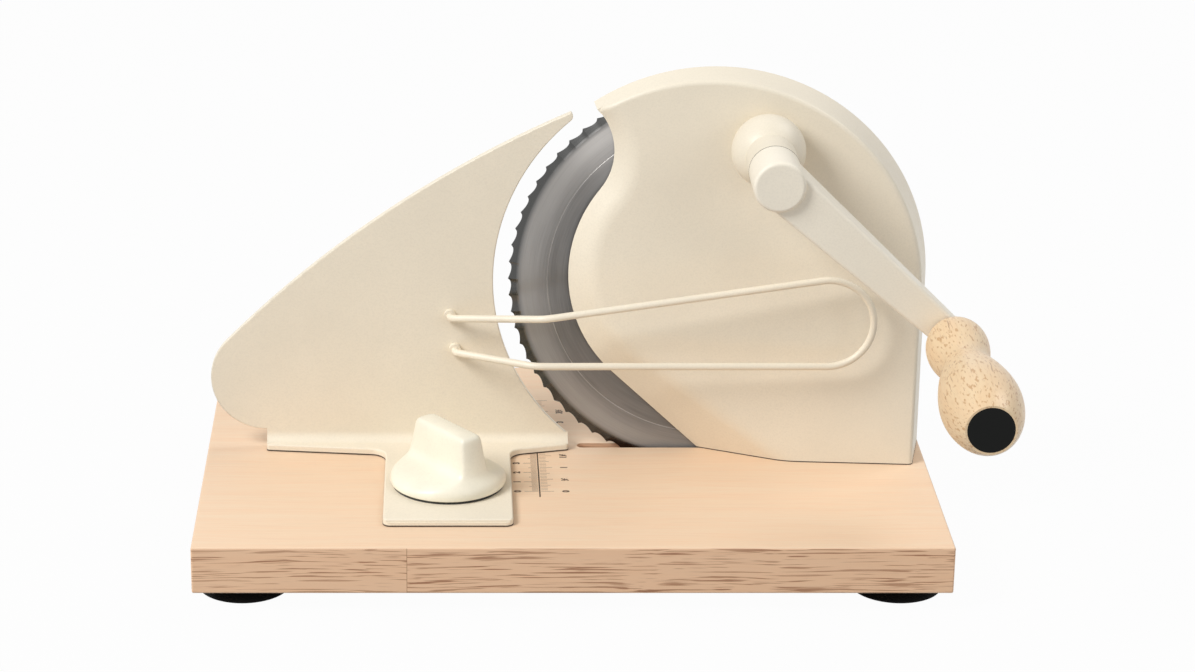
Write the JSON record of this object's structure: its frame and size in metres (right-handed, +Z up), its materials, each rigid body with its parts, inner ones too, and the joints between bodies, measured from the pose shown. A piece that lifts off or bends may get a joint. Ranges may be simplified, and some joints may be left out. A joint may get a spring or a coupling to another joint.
{
  "type": "hand cranked bread slicer",
  "caption": "Wooden board with a cast housing, a wavy round blade driven by a crank, a sliding fence plate with wire slice guard and a clamp knob.",
  "frame": {"origin": "under the middle of the whole slicer, on the surface it stands on", "axes": "+X to the right along the board, +Y away from the user, +Z up"},
  "size_m": [0.3164, 0.2572, 0.192],
  "materials": {
    "board_wood": "oiled pale hardwood, open pores",
    "foot_rubber": "matt black",
    "cream_paint": "satin cream powder coat",
    "cream_plastic": "satin cream",
    "blade_steel": "brushed in circles, ground edge",
    "gear_plastic": "natural nylon",
    "bush_bronze": "sintered bronze",
    "screw_steel": "zinc plated",
    "handle_wood": "turned and oiled beech",
    "cap_black": "satin black",
    "washer_black": "matt black"
  },
  "bodies": {
    "root": {"base_board": "board_wood", "suction_foot_front_left": "foot_rubber", "suction_foot_front_right": "foot_rubber", "suction_foot_rear_left": "foot_rubber", "suction_foot_rear_right": "foot_rubber", "foot_screws": "screw_steel", "housing_shell": "cream_paint", "housing_screws": "screw_steel", "crank_bush_front": "bush_bronze", "crank_bush_rear": "bush_bronze", "blade_axle": "screw_steel"},
    "blade": {"blade": "blade_steel", "blade_gear": "gear_plastic", "blade_bush": "bush_bronze", "blade_rivets": "screw_steel"},
    "crank": {"crank_arm": "cream_paint", "crank_shaft": "screw_steel", "crank_pinion": "gear_plastic", "crank_screw": "screw_steel", "crank_cap": "cream_plastic", "handle_spindle": "screw_steel", "spindle_washers": "screw_steel"},
    "handle": {"handle_grip": "handle_wood", "handle_end_cap": "cap_black"},
    "fence": {"fence_plate": "cream_paint", "fence_guide": "gear_plastic", "clamp_washer": "washer_black", "clamp_nut_plate": "screw_steel", "wire_guard": "cream_paint", "guard_collars": "cream_paint"},
    "knob": {"clamp_knob": "cream_plastic", "clamp_stud": "screw_steel"}
  },
  "joints": [
    {"name": "crank_turn", "type": "hinge", "parent": "root", "child": "crank", "pos_m": [0.07175, 0.0286, 0.16384], "axis": [0, 1, 0], "continuous": true},
    {"name": "blade_spin", "type": "hinge", "parent": "root", "child": "blade", "pos_m": [0.05182, 0.0286, 0.1025], "axis": [0, 1, 0], "continuous": true},
    {"name": "handle_spin", "type": "hinge", "parent": "crank", "child": "handle", "pos_m": [0.14257, -0.0314, 0.10052], "axis": [0, 1, 0], "continuous": true},
    {"name": "fence_slide", "type": "slide", "parent": "root", "child": "fence", "axis": [0, -1, 0], "range_m": [0, 0.02]},
    {"name": "knob_turn", "type": "hinge", "parent": "fence", "child": "knob", "pos_m": [-0.05718, -0.0126, 0.032], "axis": [0, 0, 1], "range_deg": [0, 180]}
  ],
  "couplings": [
    {"joint": "blade_spin", "follows": "crank_turn", "ratio": -0.30303}
  ]
}
